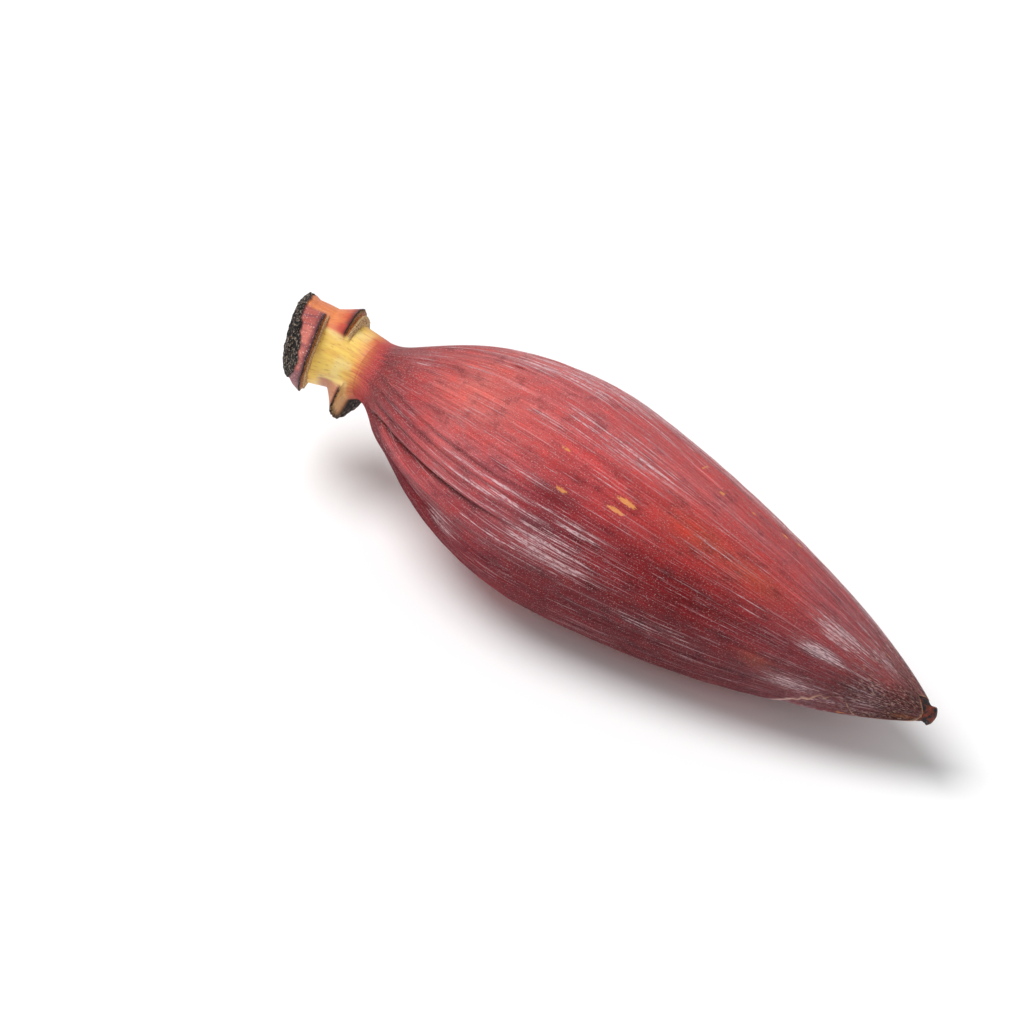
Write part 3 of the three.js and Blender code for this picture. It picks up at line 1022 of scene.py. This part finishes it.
def crusted(g, patterns, base):
    """Dry crumbs near the tip, and the dry edges of the bracts."""
    crust = g.value("crust")
    dark = g.times(crust, g.ranged(patterns["crumbs"], 0.5, 0.42, 0, 0.9))
    base = g.mix(dark, base, colour(CRUST_DARK))
    light = g.times(crust, g.ranged(patterns["crumbs"], 0.555, 0.585, 0, 0.9))
    base = g.mix(light, base, colour(CRUST_LIGHT))
    edge = g.times(g.value("rim"), g.ranged(patterns["cracked"], 0.3, 0.5, 0.4, 1))
    return g.mix(edge, base, g.mix(g.value("tip"), colour(BLOOM_WHITE), colour(RIM_TAN)))


def skin_bumps(g, patterns, wax):
    """Raised streaks, wax and crumbs, with pores and dashes over them."""
    height = g.plus(patterns["streak"], g.times(patterns["fine"], 0.4))
    height = g.plus(height, g.times(wax, 0.3))
    crumbs = g.times(g.value("crust"), patterns["crumbs"])
    height = g.plus(height, g.times(crumbs, 2.0))
    normal = g.bump(height, 0.0004)
    return g.bump(g.plus(patterns["pores"], patterns["dashes"]), 0.00016, normal)


def skin_material():
    """Dusty red skin: streaks of lighter and darker red, waxy bloom on the ribs, flecks and specks."""
    g = Graph("bract_skin")
    grain = g.vector("grain")
    patterns = {}
    for name, (across, along, detail, roughness) in SKIN_PATTERNS.items():
        patterns[name] = g.noise(grain, (across, 1, along), detail, roughness)
    base = flecked(g, patterns, streaked_skin(g, patterns))
    wax = wax_cover(g, patterns)
    base = speckled(g, patterns, g.mix(wax, base, colour(BLOOM_WHITE)))
    base = crusted(g, patterns, base)
    rough = g.larger(g.ranged(wax, 0, 0.7, 0.42, 0.7), g.value("matt"))
    g.shader.inputs["Specular IOR Level"].default_value = 0.12
    g.shader.inputs["Sheen Weight"].default_value = 0.015
    g.shader.inputs["Sheen Roughness"].default_value = 0.45
    g.shader.inputs["Sheen Tint"].default_value = (1, 0.88, 0.92, 1)
    return g.finish(base, rough, skin_bumps(g, patterns, wax))


def fibrous_flesh(g, fibre):
    """The stalk's own colour with paler and browner fibres along it."""
    pale = g.ranged(fibre, 0.5, 0.72, 0, 0.35)
    base = g.mix(pale, g.vector("tint"), colour((252, 226, 170)), "SOFT_LIGHT")
    return g.mix(g.ranged(fibre, 0.46, 0.3, 0, 0.35), base, colour((140, 70, 44)))


def broken_faces(g, grain, grit, ash, base):
    """Tan cork with dark pits, a rusty groove and a dark rim."""
    tan = g.mix(g.ranged(grit, 0.38, 0.52), colour((150, 88, 40)), colour((244, 212, 162)))
    pits = g.noise(grain, (1.3, 1.3, 1.3), 3)
    tan = g.mix(g.ranged(pits, 0.6, 0.68), tan, colour((84, 50, 30)))
    base = g.mix(g.value("cork"), base, tan)
    rust = g.mix(g.ranged(grit, 0.42, 0.6), colour((118, 56, 22)), colour((206, 120, 54)))
    base = g.mix(g.value("groove"), base, rust)
    dark = g.mix(g.ranged(grit, 0.5, 0.7, 0, 0.6), colour((38, 24, 26)), colour((110, 78, 72)))
    rim = g.times(g.value("rim"), g.ranged(ash, 0.4, 0.52, 0.4, 1))
    return g.mix(rim, base, dark)


def char_and_shade_colours(g, grain, ash):
    """Black burnt colours with pale ash, soot and rusty crumbs, for the charring at the cut and for painted
    shade in the hollow under the low scar.
    """
    burnt = g.mix(g.ranged(ash, 0.5, 0.62), colour((22, 18, 19)), colour((164, 148, 132)))
    soot = g.noise(grain, (0.35, 0.35, 0.3), 2)
    burnt = g.mix(g.ranged(soot, 0.48, 0.6, 0, 0.75), burnt, colour((34, 28, 28)))
    rusty = g.noise(grain, (1.9, 1.9, 1.2), 3, 0.7)
    return g.mix(g.ranged(rusty, 0.62, 0.7, 0, 0.8), burnt, colour((150, 100, 64)))


def stalk_material():
    """Smooth yellow flesh and reddish skin, with corky broken faces, dark rims, a burnt black cut and
    painted shade in the hollow under the low scar.
    """
    g = Graph("stalk_flesh")
    grain, char_and_shade = g.vector("grain"), g.value("char_and_shade")
    fibre = g.noise(grain, (1.6, 1.6, 0.10), 3)
    grit = g.noise(grain, (2.2, 2.2, 2.2), 4, 0.7)
    ash = g.noise(grain, (0.9, 0.9, 1.7), 5, 0.7)
    base = broken_faces(g, grain, grit, ash, fibrous_flesh(g, fibre))
    # The burnt cut, and painted shade in the hollow under the low scar, both in black burnt colours.
    base = g.mix(char_and_shade, base, char_and_shade_colours(g, grain, ash))
    dots = g.ranged(g.noise(grain, (2.4, 2.4, 2.0), 2), 0.62, 0.68, 0, 0.7)
    dots = g.times(g.times(g.value("specks"), dots), g.math("SUBTRACT", 1.0, char_and_shade))
    base = g.mix(dots, base, colour(SPECK_WHITE))
    coarse = g.larger(char_and_shade, g.larger(g.value("cork"), g.value("rim")))
    crumbs = g.times(coarse, g.plus(grit, ash))
    g.shader.inputs["Specular IOR Level"].default_value = 0.3
    return g.finish(base, g.ranged(coarse, 0, 1, 0.5, 0.85), g.bump(crumbs, 0.0006, g.bump(fibre, 0.0002)))


def tip_material():
    """Dry rust-brown skin, blackened in patches."""
    g = Graph("bud_skin")
    grain = g.vector("grain")
    patch = g.noise(grain, (0.42, 0.42, 0.5), 4, 0.6)
    base = g.mix(g.ranged(patch, 0.44, 0.56), colour((30, 26, 30)), colour((118, 46, 28)))
    grit = g.noise(grain, (1.6, 1.6, 1.6), 4, 0.7)
    base = g.mix(g.ranged(grit, 0.5, 0.36, 0, 0.6), base, colour((44, 22, 20)))
    base = g.mix(g.ranged(grit, 0.62, 0.72, 0, 0.6), base, colour((170, 150, 140)))
    g.shader.inputs["Specular IOR Level"].default_value = 0.4
    return g.finish(base, 0.7, g.bump(grit, 0.0005))


# ---- the object

skin = skin_material()
for number, bract_name in enumerate(BRACTS):
    bract_piece(bract_name, number, skin)
bud_piece(tip_material())
stalk_piece(stalk_material())

# ---- floor, light and camera

# The stage is in metres.
AZIMUTH, ELEVATION = math.radians(40), math.radians(38.5)
CAMERA_DISTANCE = 1.3
PIXELS_PER_MM = 2.83
IMAGE_WIDTH = 1024
SENSOR_WIDTH = 36  # millimetres
AIM_HEIGHT = 0.04
AIM_LEFT = 0.0312  # how far left of the origin the camera aims
AIM = (-AIM_LEFT * math.cos(AZIMUTH), -AIM_LEFT * math.sin(AZIMUTH), AIM_HEIGHT)
FLOOR_REACH = 4.0
FLOOR_WHITE = (0.98, 0.98, 0.985, 1)
SKY_STRENGTH = 0.42


def add_floor():
    mesh = bpy.data.meshes.new("floor")
    corners = [(x * FLOOR_REACH, y * FLOOR_REACH, 0) for x, y in ((-1, -1), (1, -1), (1, 1), (-1, 1))]
    mesh.from_pydata(corners, [], [(0, 1, 2, 3)])
    g = Graph("floor")
    g.shader.inputs["Base Color"].default_value = FLOOR_WHITE
    g.shader.inputs["Roughness"].default_value = 0.9
    g.shader.inputs["Specular IOR Level"].default_value = 0.1
    mesh.materials.append(g.material)
    floor = bpy.data.objects.new("floor", mesh)
    bpy.context.scene.collection.objects.link(floor)


def add_lamp(name, place, size, power):
    lamp = bpy.data.lights.new(name, "AREA")
    lamp.shape = "DISK"
    lamp.size = size
    lamp.energy = power
    held = bpy.data.objects.new(name, lamp)
    held.location = place
    x, y, z = place
    tipped = math.atan2(math.hypot(x, y), z - AIM_HEIGHT)
    held.rotation_euler = (tipped, 0, math.atan2(-y, -x) - math.pi / 2)
    bpy.context.scene.collection.objects.link(held)


def add_sky():
    world = bpy.data.worlds.new("studio")
    world.use_nodes = True
    background = world.node_tree.nodes["Background"]
    background.inputs["Color"].default_value = (1, 1, 1, 1)
    background.inputs["Strength"].default_value = SKY_STRENGTH
    bpy.context.scene.world = world


def add_camera():
    data = bpy.data.cameras.new("camera")
    data.sensor_width = SENSOR_WIDTH
    data.lens = SENSOR_WIDTH * PIXELS_PER_MM * CAMERA_DISTANCE / MM / IMAGE_WIDTH
    held = bpy.data.objects.new("camera", data)
    flat = math.cos(ELEVATION)
    back = (math.sin(AZIMUTH) * flat, -math.cos(AZIMUTH) * flat, math.sin(ELEVATION))
    held.location = [a + CAMERA_DISTANCE * b for a, b in zip(AIM, back)]
    held.rotation_euler = (math.pi / 2 - ELEVATION, 0, AZIMUTH)
    bpy.context.scene.collection.objects.link(held)
    bpy.context.scene.camera = held


add_floor()
add_sky()
add_lamp("key", (-1.2, -0.4, 2.9), size=2.1, power=79)
add_lamp("fill", (2.2, -1.7, 2.2), size=2.4, power=9)
add_camera()
bpy.context.scene.view_settings.view_transform = "Standard"
